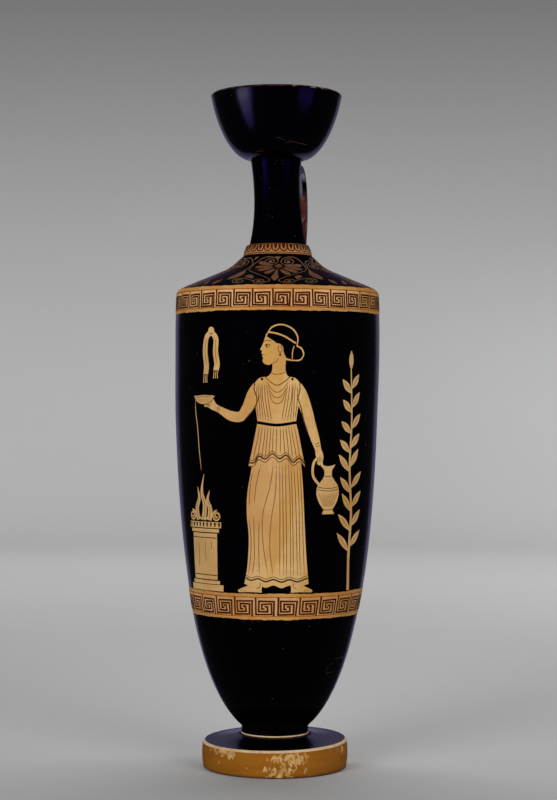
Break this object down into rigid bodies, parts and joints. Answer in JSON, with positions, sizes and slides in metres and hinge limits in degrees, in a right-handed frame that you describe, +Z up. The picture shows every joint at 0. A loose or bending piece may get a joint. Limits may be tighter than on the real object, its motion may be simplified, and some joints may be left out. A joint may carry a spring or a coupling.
{
  "type": "lekythos",
  "caption": "Tall one-handled oil flask: cup-shaped mouth, slim neck, sloping shoulder, tapering body and disc foot, thrown in sections and luted.",
  "frame": {"origin": "centre of the resting plane under the foot", "axes": "+Z up along the vessel's axis; the painted front faces -Y; the handle is at the back, turned 17 degrees from +Y towards +X"},
  "size_m": [0.1216, 0.1216, 0.4],
  "materials": {
    "black_gloss": "glossy black slip on red clay, softly brushed",
    "reserved_clay": "burnished orange clay left bare, slight sheen",
    "foot_wash": "orange-brown wash over pale clay, worn through in patches",
    "slip_joint": "pale matt fired slip"
  },
  "bodies": {
    "root": {"foot": "foot_wash", "foot_lute": "slip_joint", "body": "black_gloss", "shoulder_lute": "slip_joint", "shoulder": "black_gloss", "neck_lute": "slip_joint", "neck": "black_gloss", "neck_collar": "reserved_clay", "collar_lute": "slip_joint", "mouth_lute": "slip_joint", "mouth": "black_gloss", "handle": "black_gloss", "handle_top_pad": "black_gloss", "handle_root_pad": "black_gloss"}
  },
  "joints": []
}
